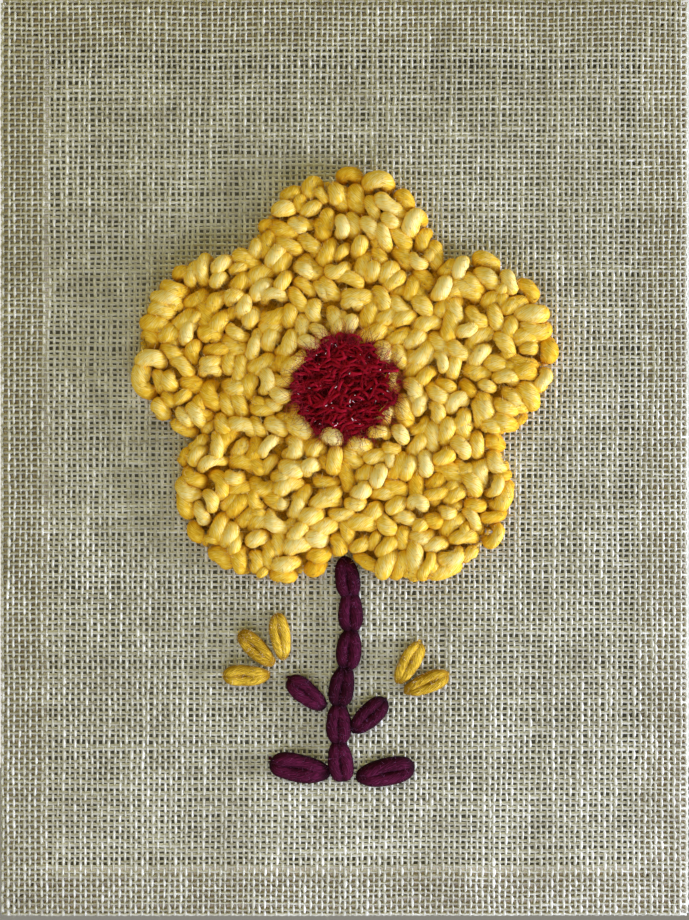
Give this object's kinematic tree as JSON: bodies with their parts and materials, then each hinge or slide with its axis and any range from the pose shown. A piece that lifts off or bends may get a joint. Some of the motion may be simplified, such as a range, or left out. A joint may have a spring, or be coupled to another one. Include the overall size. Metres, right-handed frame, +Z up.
{
  "type": "punch needle wall piece on a wooden stretcher frame",
  "caption": "Burlap panel stretched over a plain wooden bar frame, worked in wool with a loop-pile flower, a chain-stitched stem, leaves and small buds; it hangs on a nail.",
  "frame": {"origin": "middle of the underside of the frame's top bar, where the piece rests on its nail", "axes": "+Z up along the panel's height, +X to the right across its width as the worked face is seen, -Y out of the worked face and +Y towards the wall"},
  "size_m": [0.3, 0.0318, 0.4],
  "materials": {
    "burlap": "open plain weave of natural jute, matte",
    "pine": "bare planed wood",
    "yellow_wool": "thick soft wool roving, matte",
    "burgundy_mohair": "hairy yarn with a fine glitter thread",
    "plum_wool": "smooth matte wool"
  },
  "bodies": {
    "root": {"burlap": "burlap", "bar_top": "pine", "bar_right": "pine", "bar_bottom": "pine", "bar_left": "pine", "bloom_pile": "yellow_wool", "middle_pile": "burgundy_mohair", "stem": "plum_wool", "shoot_left": "plum_wool", "shoot_right": "plum_wool", "leaf_left": "plum_wool", "leaf_right": "plum_wool", "bud_left_1": "yellow_wool", "bud_left_2": "yellow_wool", "bud_left_3": "yellow_wool", "bud_right_1": "yellow_wool", "bud_right_2": "yellow_wool", "bloom_reverse": "yellow_wool", "middle_reverse": "burgundy_mohair", "stem_reverse": "plum_wool", "shoot_left_reverse": "plum_wool", "shoot_right_reverse": "plum_wool", "leaf_left_reverse": "plum_wool", "leaf_right_reverse": "plum_wool", "bud_left_1_reverse": "yellow_wool", "bud_left_2_reverse": "yellow_wool", "bud_left_3_reverse": "yellow_wool", "bud_right_1_reverse": "yellow_wool", "bud_right_2_reverse": "yellow_wool"}
  },
  "joints": []
}
